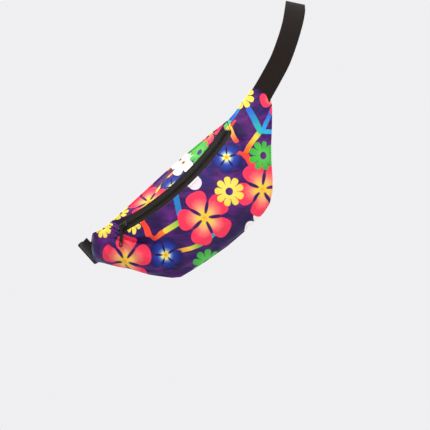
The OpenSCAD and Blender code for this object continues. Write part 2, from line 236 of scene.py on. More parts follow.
def tube_arrays(path, radius, sides, closed=False):
    """Vertices and faces of a tube along a path, with closed ends."""
    path = np.asarray(path, float)
    n = len(path)
    ahead = np.roll(path, -1, 0) - np.roll(path, 1, 0)
    if not closed:
        ahead[0], ahead[-1] = path[1] - path[0], path[-1] - path[-2]
    t = unit(ahead)
    side = unit(np.cross(t, TUBE_SEED))
    up = np.cross(t, side)
    a = np.arange(sides) * 2 * math.pi / sides
    rings = path[:, None] + radius * (side[:, None] * np.cos(a)[:, None] + up[:, None] * np.sin(a)[:, None])
    faces = []
    for i in range(n if closed else n - 1):
        first, second = i * sides, (i + 1) % n * sides
        for j in range(sides):
            k = (j + 1) % sides
            faces.append((first + j, first + k, second + k, second + j))
    if not closed:
        faces.append(tuple(range(sides))[::-1])
        faces.append(tuple((n - 1) * sides + j for j in range(sides)))
    return rings.reshape(-1, 3), faces


def join_arrays(parts):
    verts, faces, base = [], [], 0
    for v, f in parts:
        verts.append(v)
        faces += [tuple(i + base for i in face) for face in f]
        base += len(v)
    return np.concatenate(verts), faces


def rounded_copy(node, name, width):
    """A CAD node's shape with its edges rounded, as moulded plastic and cast metal have them."""
    obj = link(name, nodes[node].data.copy())
    weld = obj.modifiers.new("weld", "WELD")
    weld.merge_threshold = 0.01 * MM
    flat = obj.modifiers.new("flat", "DECIMATE")
    flat.decimate_type = "DISSOLVE"
    flat.angle_limit = math.radians(2)
    bevel = obj.modifiers.new("bevel", "BEVEL")
    bevel.width = width * MM
    bevel.segments = 3
    bevel.limit_method = "ANGLE"
    bevel.angle_limit = math.radians(35)
    bevel.harden_normals = False
    apply_modifiers(obj)
    obj.data.shade_smooth()
    sharp = obj.modifiers.new("normals", "WEIGHTED_NORMAL")
    sharp.keep_sharp = False
    apply_modifiers(obj)
    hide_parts(node)
    return obj


def distance_run(path):
    """How far a path has run at each of its points."""
    return np.concatenate([[0], np.cumsum(np.linalg.norm(np.diff(path, axis=0), axis=1))])


def sample(columns, run, at):
    """Each column of values known at the distances run, read at the distances at."""
    return np.stack([np.interp(at, run, column) for column in columns.T], -1)


# A stitch dives into the cloth at both ends: places along it, as shares of its length, and heights
STITCH_AT = np.array([0, 0.12, 0.35, 0.65, 0.88, 1])
STITCH_LIFT = np.array([-0.35, 0.08, 0.2, 0.2, 0.08, -0.35])


def stitches(name, paths, length=2.7, gap=0.9, radius=0.2):
    """Rows of single stitches. Each path is its points with the surface normals there."""
    parts = []
    for path, normals in paths:
        run = distance_run(path)
        both = np.concatenate([path, normals], 1)
        for start in np.arange(0.6, run[-1] - length, length + gap):
            b = sample(both, run, start + length * STITCH_AT)
            parts.append(tube_arrays(b[:, :3] + b[:, 3:] * STITCH_LIFT[:, None], radius, 6))
    obj = new_object(name, *join_arrays(parts), THREAD)
    face_outward(obj)
    dress(obj, "pack", "thread")


def dress(obj, body, slot, *replaced):
    """Rides a piece on its body and hides the CAD nodes that it stands for. Its slot is not used."""
    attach(obj, body)
    if replaced:
        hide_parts(*replaced)


# ---- Materials ----


class Net:
    """Short calls that add nodes to a material or a node group."""

    def __init__(self, tree, mat=None):
        self.tree, self.mat = tree, mat

    def add(self, kind, **settings):
        node = self.tree.nodes.new(kind)
        for key, value in settings.items():
            setattr(node, key, value)
        return node

    def put(self, socket, value):
        if isinstance(value, bpy.types.NodeSocket):
            self.tree.links.new(value, socket)
        elif value is not None:
            socket.default_value = value

    def fill(self, node, inputs):
        """Puts links and plain values on a node's own sockets."""
        for key, value in inputs.items():
            self.put(node.inputs[key], value)
        return node

    def math(self, op, *values, clamp=False):
        node = self.add("ShaderNodeMath", operation=op, use_clamp=clamp)
        return self.fill(node, dict(enumerate(values))).outputs[0]

    def mul(self, a, b):
        return self.math("MULTIPLY", a, b)

    def sub(self, a, b):
        return self.math("SUBTRACT", a, b)

    def div(self, a, b):
        return self.math("DIVIDE", a, b)

    def mul_add(self, a, b, c):
        return self.math("MULTIPLY_ADD", a, b, c)

    def length(self, x, y):
        return self.math("SQRT", self.math("ADD", self.mul(x, x), self.mul(y, y)))

    def wave(self, value, turn):
        return self.math("SINE", self.mul(value, turn))

    def vector(self, op, a, b=None, scale=None):
        inputs = {0: a, 1: b} if scale is None else {0: a, "Scale": scale}
        node = self.fill(self.add("ShaderNodeVectorMath", operation=op), inputs)
        return node.outputs["Value" if op in ("DOT_PRODUCT", "LENGTH") else "Vector"]

    def split(self, v):
        return self.fill(self.add("ShaderNodeSeparateXYZ"), {0: v}).outputs[:3]

    def join(self, x, y, z=0.0):
        return self.fill(self.add("ShaderNodeCombineXYZ"), {0: x, 1: y, 2: z}).outputs[0]

    def mix(self, t, a, b, blend="MIX"):
        node = self.add("ShaderNodeMix", data_type="RGBA", blend_type=blend)
        return self.fill(node, {0: t, 6: a, 7: b}).outputs[2]

    def ramp(self, t, stops):
        node = self.add("ShaderNodeValToRGB")
        ramp = node.color_ramp
        while len(ramp.elements) < len(stops):
            ramp.elements.new(0.5)
        for element, (at, colour) in zip(ramp.elements, stops):
            element.position = at
            element.color = PALETTE[colour]
        return self.fill(node, {0: t}).outputs[0]

    def span(self, value, low, high, to_low=0.0, to_high=1.0):
        node = self.add("ShaderNodeMapRange")
        return self.fill(node, dict(enumerate((value, low, high, to_low, to_high)))).outputs[0]

    def noise(self, where, scale, detail=2.0, rough=0.5):
        inputs = {"Vector": where, "Scale": scale, "Detail": detail, "Roughness": rough}
        return self.fill(self.add("ShaderNodeTexNoise"), inputs).outputs[0]

    def bump(self, height, distance, strength=1.0, under=None):
        inputs = {"Strength": strength, "Distance": distance, "Height": height, "Normal": under}
        return self.fill(self.add("ShaderNodeBump"), inputs).outputs[0]

    def flat(self):
        """Metres on the flat cloth, as set_uv leaves them."""
        return self.add("ShaderNodeUVMap", uv_map="flat").outputs[0]

    def finish(self, **inputs):
        """Fills the shader's own sockets, underscores standing for the spaces in their names."""
        shader = self.tree.nodes["Principled BSDF"]
        self.fill(shader, {key.replace("_", " "): value for key, value in inputs.items()})
        return self.mat

    def group(self, tree, **inputs):
        return self.fill(self.add("ShaderNodeGroup", node_tree=tree), inputs).outputs


def rgb(code):
    """A colour from its hex code, in linear light."""
    parts = [int(code[i : i + 2], 16) / 255 for i in (0, 2, 4)]
    return tuple(c / 12.92 if c <= 0.04045 else ((c + 0.055) / 1.055) ** 2.4 for c in parts) + (1.0,)


def material(name):
    mat = bpy.data.materials.new(name)
    mat.use_nodes = True
    return Net(mat.node_tree, mat)


def new_group(name, ins, outs):
    tree = bpy.data.node_groups.new(name, "ShaderNodeTree")
    for key, kind in ins:
        tree.interface.new_socket(key, in_out="INPUT", socket_type=kind)
    for key, kind in outs:
        tree.interface.new_socket(key, in_out="OUTPUT", socket_type=kind)
    net = Net(tree)
    return tree, net, net.add("NodeGroupInput").outputs, net.add("NodeGroupOutput").inputs


FLOAT, VECTOR = "NodeSocketFloat", "NodeSocketVector"
PETAL_POWER = 2.3  # 2 is an ellipse, and more is squarer
BAND_BLUR = 0.0002


def flower_group(name, count, middle, long, wide, egg, slit, soft):
    """Petals round a centre. Outputs where they are, how far out, across and round, and the slits."""
    ins = [("Where", VECTOR), ("Centre", VECTOR), ("Size", FLOAT), ("Turn", FLOAT)]
    outs = [("Petals", FLOAT), ("Out", FLOAT), ("Across", FLOAT), ("Slits", FLOAT), ("Angle", FLOAT)]
    tree, net, i, o = new_group(name, ins, outs)
    offset = net.vector("SUBTRACT", i["Where"], i["Centre"])
    x, y, _ = net.split(net.vector("SCALE", offset, scale=net.div(1.0, i["Size"])))
    r = net.length(x, y)
    angle = net.sub(net.math("ARCTAN2", y, x), i["Turn"])
    half = math.pi / count

    def egg_at(turn, centre, a, b, k):
        fold = net.math("WRAP", net.math("ADD", angle, turn), half, -half)
        px = net.sub(net.mul(r, net.math("COSINE", fold)), centre)
        py = net.mul(r, net.math("SINE", fold))
        width = net.mul_add(px, k, b)
        powers = [
            net.math("POWER", net.math("ABSOLUTE", net.div(p, d)), PETAL_POWER)
            for p, d in ((px, a), (py, width))
        ]
        e = net.math("POWER", net.math("ADD", *powers), 1 / PETAL_POWER)
        return e, net.math("ABSOLUTE", net.div(fold, half))

    e, across = egg_at(0.0, middle, long, wide, egg)
    petals = net.span(e, 1.0 + soft, 1.0 - soft)
    for key, value in (("Petals", petals), ("Out", r), ("Across", across), ("Angle", angle)):
        net.put(o[key], value)
    if slit:
        s, _ = egg_at(half, *slit, 0.0)
        net.put(o["Slits"], net.span(s, 1.15, 0.85))
    return tree


def stroke_group():
    """A straight band from A to B. Outputs where it is and how far along."""
    ins = [("Where", VECTOR), ("A", VECTOR), ("B", VECTOR), ("Half", FLOAT)]
    tree, net, i, o = new_group("stroke", ins, [("Band", FLOAT), ("Along", FLOAT)])
    pa = net.vector("SUBTRACT", i["Where"], i["A"])
    ba = net.vector("SUBTRACT", i["B"], i["A"])
    dots = (net.vector("DOT_PRODUCT", side, ba) for side in (pa, ba))
    h = net.math("DIVIDE", *dots, clamp=True)
    gap = net.vector("LENGTH", net.vector("SUBTRACT", pa, net.vector("SCALE", ba, scale=h)))
    net.put(o["Band"], net.span(net.sub(gap, i["Half"]), BAND_BLUR, -BAND_BLUR))
    net.put(o["Along"], h)
    return tree


# Print of the cloth. Places are millimetres on the flat cloth: X along the pack and Y up. The top
# panel's cloth lies TOP_V higher than the front's. A flower is its place, size and turn in degrees.
TOP_V = 150.0
CORALS = [
    (-151, 16, 46, 120), (5, -22, 48, 73), (117, -55, 50, 78), (252, 50, 34, 150),
    (-52, TOP_V + 3, 38, 60), (114, TOP_V + 28, 30, 20),
]
BLUES = [
    (-92, -24, 31, 100), (106, 31, 30, 84), (-2, TOP_V - 4, 30, 30), (196, -62, 30, 10),
    (-226, 66, 28, 10),
]
YELLOWS = [
    (69, -17, 26, 18), (203, 98, 25, 20), (-147, 89, 19, 12), (-97, 59, 18, 5),
    (-104, TOP_V + 22, 19, 5),
]
GREENS = [(158, -10, 27, 0), (-47, -86, 27, 8), (75, TOP_V + 11, 23, 10)]
WHITES = [(41, TOP_V + 24, 27, 60), (68, -106, 32, 60)]
# Soft dark spots in ink: place and size. The two under the zip's left end, at (-120, 58) and (-105, 24), are
# painted shade below the fold that hangs there; the others darken the print in patches.
DARK_SPOTS_AND_PAINTED_SHADE = [
    (-71, 34, 30), (55, -70, 26), (18, -71, 24), (-90, -47, 26), (-120, 58, 18), (-105, 24, 17),
    (150, 52, 22),
]
PALETTE = {
    "coral": "FA3658", "salmon": "FB7A6E", "peach": "FDB070", "gold": "F9CE42", "amber": "F79A2A",
    "lemon": "F5E063", "leaf": "55C24A", "fern": "3FA83C", "royal": "2A3FA6", "navy": "1B1B62",
    "glow": "EDE88E", "sky": "6F93D6", "plum": "521C68", "violet": "6B2A82", "indigo": "2C1650",
    "ink": "1C1140", "white": "F3EEEA", "blush": "E2D6DB", "ivory": "FBE2C0", "red": "FA4230",
    "orange": "FB8326", "yellow": "EFD54A", "green": "6CBF3A", "teal": "2BB7A6", "cyan": "35A3E0",
    "blue": "2C5ACC", "azure": "2377BD",
}
PALETTE = {name: rgb(code) for name, code in PALETTE.items()}
# Bands: from, to, half width and the colours at both ends
BANDS = [
    (30, 52, 33, 35, 12.5, "blush", "blush"),
    (-82, 52, -87, 12, 4.6, "red", "red"), (-87, 11, -62, 7, 4.8, "red", "orange"),
    (-62, 7, -36, 2, 4.8, "yellow", "green"), (-24, 12, -4, 46, 5.2, "azure", "azure"),
    (-70, -33, -50, -44, 3.8, "orange", "yellow"), (-50, -44, -34, -50, 3.8, "yellow", "green"),
    (-34, -50, -12, -53, 3.8, "green", "teal"), (-12, -53, 8, -54, 3.8, "teal", "blue"),
    (131, 12, 150, 20, 4.4, "red", "orange"),
    (150, 20, 170, 24, 4.4, "orange", "yellow"), (170, 24, 184, 27, 4.8, "yellow", "green"),
    (184, 27, 196, 70, 5.8, "teal", "blue"), (184, 27, 200, 12, 4.2, "teal", "cyan"),
    (190, 24, 226, 40, 4.4, "cyan", "blue"), (122, 30, 134, 10, 4.0, "red", "red"),
    (134, 10, 130, -10, 5.0, "red", "red"), (148, 74, 139, 42, 4.6, "yellow", "red"),
    (143, 74, 160, 78, 3.2, "green", "teal"), (160, 78, 192, 86, 3.6, "blue", "cyan"),
    (152, 69, 162, 71, 2.0, "red", "red"),
    (-30, TOP_V + 14, -10, TOP_V + 22, 2.6, "yellow", "gold"),
    (-10, TOP_V + 22, 20, TOP_V + 24, 2.6, "gold", "orange"),
    (60, TOP_V + 30, 120, TOP_V + 12, 3.0, "green", "green"),
]


PRINT_PITCH = 0.0007


def printed_cloth():
    """The all-over print on satin polyester, with its fine plain weave."""
    net = material("printed_cloth")
    p = PALETTE
    uv = net.flat()
    cloud = net.noise(uv, 20.0, 2.0, 0.5)
    flow = net.vector("SCALE", net.join(cloud, cloud), scale=0.03)
    turned = net.add("ShaderNodeVectorRotate", rotation_type="Z_AXIS")
    net.fill(turned, {"Vector": net.vector("ADD", uv, flow), "Angle": math.radians(38)})
    streak = net.noise(net.vector("MULTIPLY", turned.outputs[0], (26.0, 150.0, 1.0)), 1.0, 3.0, 0.6)
    patch = net.mul_add(streak, 0.55, net.mul(cloud, 0.8))
    colour = net.ramp(patch, [(0.46, "ink"), (0.58, "indigo"), (0.72, "plum"), (0.90, "violet")])
    deep = net.noise(net.vector("ADD", uv, (0.31, 0.17, 0.0)), 26.0, 2.0, 0.5)
    colour = net.mix(net.span(deep, 0.52, 0.68, 0.0, 0.85), colour, p["navy"])

    def place(x, y):
        return x * MM, y * MM, 0

    # Dark spots in ink: painted shade below the fold at the zip's left end, and darker patches of the print
    # elsewhere
    for x, y, size in DARK_SPOTS_AND_PAINTED_SHADE:
        gap = net.vector("LENGTH", net.vector("SUBTRACT", uv, place(x, y)))
        ragged = net.sub(cloud, 0.5)
        near = net.mul_add(ragged, -0.6, net.div(gap, size * MM))
        colour = net.mix(net.span(near, 1.0, 0.45, 0.0, 0.8), colour, p["ink"])

    stroke = stroke_group()
    for x1, y1, x2, y2, half, first, last in BANDS:
        o = net.group(stroke, Where=uv, A=place(x1, y1), B=place(x2, y2), Half=half * MM)
        colour = net.mix(o["Band"], colour, net.mix(o["Along"], p[first], p[last]))

    def flowers(places, tree, paint):
        nonlocal colour
        for x, y, size, turn in places:
            o = net.group(tree, Where=uv, Centre=place(x, y), Size=size * MM, Turn=math.radians(turn))
            tint, mask = paint(o)
            colour = net.mix(mask, colour, tint)

    def rays(o, share):
        """Fine stripes along the petals."""
        n = net.noise(net.join(net.mul(o["Angle"], 9.0), o["Out"]), 2.6, 2.0)
        return net.mul_add(net.sub(n, 0.5), share, o["Out"])

    def coral(o):
        t = net.mul_add(net.mul(o["Across"], o["Across"]), 0.16, rays(o, 0.25))
        tint = net.ramp(t, [
            (0.07, "amber"), (0.13, "gold"), (0.24, "gold"), (0.37, "peach"),
            (0.52, "salmon"), (0.76, "coral"),
        ])
        tint = net.mix(o["Slits"], tint, p["indigo"])
        core = net.span(o["Out"], 0.20, 0.16)
        return tint, net.math("MAXIMUM", o["Petals"], core)

    def blue(o):
        tint = net.ramp(rays(o, 0.2), [
            (0.05, "amber"), (0.15, "lemon"), (0.23, "glow"),
            (0.31, "sky"), (0.46, "royal"), (0.85, "navy"),
        ])
        tint = net.mix(o["Slits"], tint, p["ink"])
        core = net.span(o["Out"], 0.20, 0.14)
        return tint, net.math("MAXIMUM", o["Petals"], core)

    def daisy(light, dark):
        def paint(o):
            tint = net.mix(net.span(o["Out"], 0.3, 1.0), light, dark)
            disc = net.span(o["Out"], 0.53, 0.50)
            hole = net.span(o["Out"], 0.25, 0.27)
            return tint, net.mul(net.math("MAXIMUM", o["Petals"], disc), hole)
        return paint

    def white(o):
        tint = net.ramp(rays(o, 0.1), [(0.08, "amber"), (0.22, "ivory"), (0.38, "white")])
        return tint, o["Petals"]

    five = flower_group("five_petals", 5, 0.58, 0.42, 0.355, 0.33, (0.40, 0.25, 0.062), 0.012)
    glow = flower_group("glowing_petals", 5, 0.55, 0.45, 0.38, 0.20, (0.42, 0.25, 0.06), 0.12)
    nine = flower_group("nine_petals", 9, 0.68, 0.32, 0.215, 0.16, None, 0.02)
    broad = flower_group("broad_petals", 5, 0.56, 0.46, 0.38, 0.20, None, 0.012)
    flowers(BLUES, glow, blue)
    flowers(WHITES, broad, white)
    flowers(CORALS, five, coral)
    flowers(YELLOWS, nine, daisy(p["lemon"], p["yellow"]))
    flowers(GREENS, nine, daisy(p["leaf"], p["fern"]))

    u, v, _ = net.split(uv)
    thread = 2 * math.pi / PRINT_PITCH
    # The weave's crowns lighten the print and its hollows darken it: painted light and shade at the scale of
    # the threads
    weave = net.mul(net.wave(u, thread), net.wave(v, thread))
    shade = net.span(weave, -1.0, 1.0, 0.93, 1.03)
    colour = net.mix(1.0, colour, net.join(shade, shade, shade), "MULTIPLY")
    crumple = net.noise(net.vector("MULTIPLY", uv, (1.0, 1.6, 1.0)), 70.0, 3.0, 0.55)
    soft = net.bump(crumple, 0.0012, 0.35)
    return net.finish(
        Base_Color=colour, Normal=net.bump(weave, 0.00012, 0.5, soft),
        Roughness=net.span(crumple, 0.3, 0.7, 0.36, 0.5), Specular_IOR_Level=0.15, Sheen_Weight=0.01,
    )


ZIG_WIDTH, CORD_PITCH = 0.0048, 0.0012


def webbing_material(name, base, light, pitch=0.0024):
    """Ribbed webbing: ribs that zigzag across its width, over cords that run along it."""
    net = material(name)
    uv = net.flat()
    u, v, _ = net.split(uv)
    turn = 2 * math.pi
    zig = net.math("PINGPONG", net.div(v, ZIG_WIDTH), 1.0)
    rib = net.wave(net.mul_add(zig, pitch * 0.5, u), turn / pitch)
    cord = net.wave(v, turn / CORD_PITCH)
    height = net.mul_add(cord, 0.4, rib)
    wear = net.noise(uv, 160.0, 3.0, 0.6)
    # Raised ribs and cords take the lighter colour: painted light on them, over a random tone of wear
    relief_light_and_tone = net.mul_add(height, 0.16, net.mul_add(wear, 0.5, 0.25))
    return net.finish(
        Base_Color=net.mix(relief_light_and_tone, base, light), Normal=net.bump(height, 0.0003, 0.55), Roughness=0.62,
        Sheen_Weight=0.02, Specular_IOR_Level=0.1,
    )


def cloth_material(name, base, light, pitch, depth, rough=0.8):
    """Plain woven cloth, its threads worked out from its flat coordinates."""
    net = material(name)
    u, v, _ = net.split(net.flat())
    turn = 2 * math.pi / pitch
    weave = net.mul(net.wave(u, turn), net.wave(v, turn))
    fuzz = net.noise(net.join(u, v), 300.0, 3.0, 0.6)
    # The weave's crowns take the lighter colour and its hollows the darker: painted light and shade, over a
    # random fuzz of tone
    relief_light_and_tone = net.math("MULTIPLY_ADD", weave, 0.3, fuzz, clamp=True)
    return net.finish(
        Base_Color=net.mix(relief_light_and_tone, base, light), Normal=net.bump(weave, depth, 0.7), Roughness=rough,
        Specular_IOR_Level=0.2, Sheen_Weight=0.04,
    )


def mesh_material(name, base, light, cell=0.0032):
    """Spacer mesh: rows of small round holes between knitted threads."""
    net = material(name)
    u, v, _ = net.split(net.flat())
    row = net.math("FLOOR", net.div(v, cell))
    shift = net.mul(net.math("MODULO", row, 2.0), cell / 2)
    x = net.sub(net.math("WRAP", net.math("ADD", u, shift), cell, 0.0), cell / 2)
    y = net.sub(net.math("WRAP", v, cell, 0.0), cell / 2)
    r = net.length(x, y)
    # The holes take the near-black base colour, painted shade inside them, and the threads between them the
    # lighter one
    thread = net.span(r, cell * 0.24, cell * 0.40)
    return net.finish(
        Base_Color=net.mix(thread, base, light), Normal=net.bump(thread, 0.0007, 0.9), Roughness=0.85,
        Sheen_Weight=0.15,
    )


def solid_material(name, base, rough, metal=0.0, grain=900.0, depth=0.00005, spec=0.5, wear=None):
    """Moulded plastic or enamelled metal with a fine grain and, if asked, rubbed edges."""
    net = material(name)
    where = net.add("ShaderNodeTexCoord").outputs["Object"]
    speck = net.noise(where, grain, 3.0, 0.6)
    cloud = net.noise(where, 60.0, 3.0, 0.5)
    colour = net.mix(net.span(cloud, 0.3, 0.7), base, tuple(min(1.0, c * 1.5) for c in base[:3]) + (1.0,))
    if wear:
        point = net.add("ShaderNodeNewGeometry").outputs["Pointiness"]
        rub = net.mul(net.span(point, 0.515, 0.56), net.span(cloud, 0.35, 0.6))
        colour = net.mix(rub, colour, wear)
    return net.finish(
        Base_Color=colour, Roughness=net.span(speck, 0.3, 0.7, rough - 0.06, rough + 0.08),
        Normal=net.bump(speck, depth, 0.6), Metallic=metal, Specular_IOR_Level=spec,
    )


PRINT = printed_cloth()
WEBBING = webbing_material("ribbed_webbing", rgb("0F0907"), rgb("241A15"))
ELASTIC = webbing_material("woven_elastic", rgb("161314"), rgb("353032"), 0.0016)
TAPE = cloth_material("zip_tape_cloth", rgb("0D0906"), rgb("241C13"), 0.0009, 0.00015, 0.7)
BACK_CLOTH = cloth_material("back_cloth", rgb("121214"), rgb("2C2C30"), 0.0008, 0.00015)
LINING = cloth_material("lining_cloth", rgb("4A4650"), rgb("6C6672"), 0.0006, 0.0001, 0.6)
SPACER = mesh_material("spacer_mesh", rgb("08080A"), rgb("2E2E32"))
NYLON = solid_material("nylon_coil", rgb("100D0A"), 0.42, spec=0.35)
METAL = solid_material("enamelled_zinc", rgb("121014"), 0.3, 0.35, wear=rgb("7A7672"))
RUBBER = solid_material("moulded_puller", rgb("0E0C0B"), 0.45, spec=0.4)
PLASTIC = solid_material("moulded_acetal", rgb("0F0C0A"), 0.42, spec=0.35, wear=rgb("26221F"))
THREAD = solid_material("bonded_thread", rgb("1C1820"), 0.55, grain=4000.0)
FOAM = solid_material("grey_foam", rgb("8A8A8A"), 0.95, grain=2000.0, depth=0.0003)

# ---- Camera, light and stage, in metres ----

ROLL = math.radians(42.0)
VIEW_CENTRE = Vector((0.021, 0.0, -0.032))
VIEW_DISTANCE = 2.2
VIEW_WIDTH = 0.783
FLOOR_R, FLOOR_Z = 1.4, -0.95


def make_camera():
    data = bpy.data.cameras.new("camera")
    data.sensor_width = 36.0
    data.lens = data.sensor_width * VIEW_DISTANCE / VIEW_WIDTH
    camera = link("camera", data)
    right = Vector((math.cos(ROLL), 0, -math.sin(ROLL)))
    up = Vector((math.sin(ROLL), 0, math.cos(ROLL)))
    back = Vector((0, -1, 0))
    turn = Matrix((right, up, back)).transposed().to_4x4()
    camera.matrix_world = Matrix.Translation(VIEW_CENTRE + back * VIEW_DISTANCE) @ turn
    bpy.context.scene.camera = camera


def area_light(name, place, target, size, power):
    data = bpy.data.lights.new(name, "AREA")
    data.shape = "DISK"
    data.size = size
    data.energy = power
    light = link(name, data)
    light.location = place
    light.rotation_euler = (Vector(target) - Vector(place)).to_track_quat("-Z", "Y").to_euler()


def make_stage():
    world = bpy.data.worlds.new("studio")
    world.use_nodes = True
    net = Net(world.node_tree)
    background = world.node_tree.nodes["Background"]
    # The studio is brighter behind the pack, as the photo's pale backdrop is, than on the viewer's side
    _, depth, _ = net.split(net.add("ShaderNodeTexCoord").outputs["Generated"])
    strength = net.span(depth, -0.2, 0.75, 0.42, 0.88)
    net.fill(background, {"Color": (0.985, 0.985, 1.0, 1), "Strength": strength})
    bpy.context.scene.world = world
    bpy.context.scene.view_settings.view_transform = "Standard"
    pale = material("pale_floor").finish(Base_Color=(0.66, 0.66, 0.67, 1), Roughness=0.9)
    bpy.ops.mesh.primitive_circle_add(
        vertices=128, radius=FLOOR_R, fill_type="NGON", location=(0, 0, FLOOR_Z)
    )
    floor = bpy.context.object
    floor.name = "floor"
    floor.data.materials.append(pale)
    area_light("key", (1.3, -1.5, 1.9), (0, 0, 0), 0.7, 62)
    area_light("fill", (-1.4, -2.0, 0.3), (0, 0, 0), 1.4, 6)
    area_light("low", (0.3, -1.9, -0.7), (0, 0, -0.05), 1.2, 12)
    area_light("top", (0.5, 0.6, 1.9), (0, 0, 0), 0.9, 22)
    area_light("back", (-0.8, 2.1, 1.3), (0, 0.1, 0), 1.4, 34)


make_camera()
make_stage()

# ---- Printed cloth ----

FINE_WING, FINE_MID, FINE_ROWS = 30, 110, 44
CLOTH_OUT = 14.0  # how far out from the wearer's side a wing's cloth is taken to lie
ZIP_EDGE_X = -130.3, 146.3  # ends of the cloth's edge on the zip


def fine_stations():
    left = np.linspace(TIP_LEFT, ZIP_LEFT - 3, FINE_WING)
    mid = np.linspace(ZIP_LEFT, ZIP_RIGHT, FINE_MID)
    right = np.linspace(ZIP_RIGHT + 3, TIP_RIGHT, FINE_WING)
    return np.concatenate([left, mid, right])


STATIONS = fine_stations()
MID_FIRST, MID_LAST = FINE_WING, FINE_WING + FINE_MID - 1


def flat_u(u):
    """Distance along the cloth's own surface, which is longer than the wearer's side on a wing."""
    left = -FLAT_HALF - (-FLAT_HALF - u) * (1 + CLOTH_OUT / LEFT_R)
    right = FLAT_HALF + (u - FLAT_HALF) * (1 + CLOTH_OUT / RIGHT_R)
    return np.where(u < -FLAT_HALF, left, np.where(u > FLAT_HALF, right, u))


def front_surface():
    u = STATIONS
    foot = wrap(u, edge(u, LOWER_EDGE), SEAM_D)
    head = wrap(u, edge(u, UPPER_EDGE), SEAM_D)
    index = np.arange(len(u))
    f = np.clip((index - MID_FIRST) / (FINE_MID - 1), 0, 1)
    x = mix(*ZIP_EDGE_X, f)
    phi = zip_angle(x, -ZIP_SHOW)
    on_zip = zip_point(phi, -opening(phi), 0.5)
    middle = (index >= MID_FIRST) & (index <= MID_LAST)
    head = np.where(middle[:, None], on_zip, head)
    full = np.power(np.cos(np.pi / 2 * np.minimum(1, np.abs(u) / 195)), 0.8)
    fade = mix(0.35, 1.0, np.clip((u - TIP_LEFT) / 12, 0, 1) * np.clip((TIP_RIGHT - u) / 12, 0, 1))
    swell = (BELLY * full + WING_SWELL * (1 - full)) * fade
    t = np.linspace(0, 1, FINE_ROWS)
    power = mix(0.42, 0.75, full)
    bulge = np.power(np.sin(np.pi * np.clip(t, 1e-6, 1 - 1e-6))[None], power[:, None])
    out = wrap(u, 0, 1) - wrap(u, 0, 0)
    points = mix(foot[:, None], head[:, None], t[None, :, None])
    points = points + out[:, None] * (swell[:, None] * bulge)[..., None]
    return points, grid_uv(flat_u(u), points[..., 2])


def grid_normals(points):
    du = np.gradient(points, axis=0)
    dv = np.gradient(points, axis=1)
    return unit(np.cross(du, dv))


def ridge(x, z, a, b, width):
    """Profile of a soft fold from a to b: 1 on the line, fading to both sides and its ends."""
    a, b = np.array(a, float), np.array(b, float)
    d = b - a
    h = ((x - a[0]) * d[0] + (z - a[1]) * d[1]) / (d @ d)
    off = np.hypot(x - a[0] - d[0] * np.clip(h, 0, 1), z - a[1] - d[1] * np.clip(h, 0, 1))
    ends = np.sin(np.pi * np.clip(h, 0, 1)) ** 0.5
    return np.exp(-((off / width) ** 2)) * ends


# Folds of the worn cloth: from, to, width and height (a valley is negative), on the flat cloth
FOLDS = [
    (-146, 64, -84, -2, 4.4, -6.5), (-134, 66, -72, 12, 5.0, 5.0), (-136, 38, -176, 20, 7, -2.0),
    (-120, 22, -80, -40, 9, -1.6), (142, 50, 168, 10, 6, -2.4), (150, 62, 196, 40, 6, -1.6),
    (146, 44, 120, 5, 7, 1.8), (-108, -66, -84, -20, 8, -2.0), (106, -78, 92, -30, 8, -2.0),
    (-60, 30, -20, -10, 10, -1.0), (40, 34, 80, 10, 9, -1.1), (-30, -70, 30, -62, 9, -1.6),
    (160, -20, 200, 40, 8, -1.3), (-150, -10, -186, 40, 7, -1.4), (60, -60, 100, -50, 8, 1.3),
    (-134, 70, -160, 40, 3.5, 2.8), (-142, 72, -168, 48, 4, -2.4), (-122, 46, -134, 16, 4, -1.6),
    (-185, 62, -150, 72, 5, -1.3), (176, 76, 222, 80, 5, -1.0), (0, 30, 14, -60, 14, -0.8),
]

# Folds that hang over sideways: from, to, width and shift to the right of that direction
SLUMPS = [
    (-138, 70, -74, 14, 5.5, 8.5), (-136, 72, -160, 40, 4, 3.0), (-96, -30, -62, -62, 7, 3.0),
    (150, 60, 186, 34, 6, 2.6), (100, -84, 84, -30, 8, 2.4), (166, -14, 206, 36, 7, -2.2),
]


WEAK_PULL = 2.0


def settle(obj, pinned, frames, shrink, pressure, cap, inward):
    """Runs the cloth with its seams held, then moves each point by what it settled.

    No point moves further than cap, nor further than its own inward limit towards the lining.
    """
    scene = bpy.context.scene
    group = obj.vertex_groups.new(name="seams")
    group.add([int(i) for i in pinned], 1.0, "REPLACE")
    cloth = obj.modifiers.new("cloth", "CLOTH")
    s = cloth.settings
    s.vertex_group_mass = "seams"
    s.quality = 6
    s.mass = 0.12
    s.tension_stiffness = s.compression_stiffness = 12.0
    s.shear_stiffness = 6.0
    s.bending_stiffness = 0.35
    s.shrink_min = shrink
    s.use_pressure = pressure > 0
    s.uniform_pressure_force = pressure
    cloth.collision_settings.use_collision = False
    cloth.point_cache.frame_start, cloth.point_cache.frame_end = 1, frames
    # Down in the photo, and weaker than real gravity
    scene.gravity = (-WEAK_PULL * math.sin(ROLL), 0, -WEAK_PULL * math.cos(ROLL))
    for f in range(1, frames + 1):
        scene.frame_set(f)
    graph = bpy.context.evaluated_depsgraph_get()
    moved = obj.evaluated_get(graph).to_mesh()
    before = read(obj.data, "co")
    step = read(moved, "co") - before
    size = np.linalg.norm(step, axis=1, keepdims=True)
    limit = cap * MM
    step *= limit * np.tanh(size / limit) / np.maximum(size, 1e-9)
    normals = read(obj.data, "normal")
    depth = np.maximum(0.0, -np.sum(step * normals, axis=1))
    allowed = np.maximum(inward * MM, 1e-9)
    step += normals * (depth - allowed * np.tanh(depth / allowed))[:, None]
    obj.modifiers.clear()
    move(obj, before + step)
    scene.frame_set(1)


def border(n, m):
    """Numbers of the points on the edge of an n by m grid."""
    i, j = np.meshgrid(np.arange(n), np.arange(m), indexing="ij")
    return np.flatnonzero(((i == 0) | (i == n - 1) | (j == 0) | (j == m - 1)).ravel())


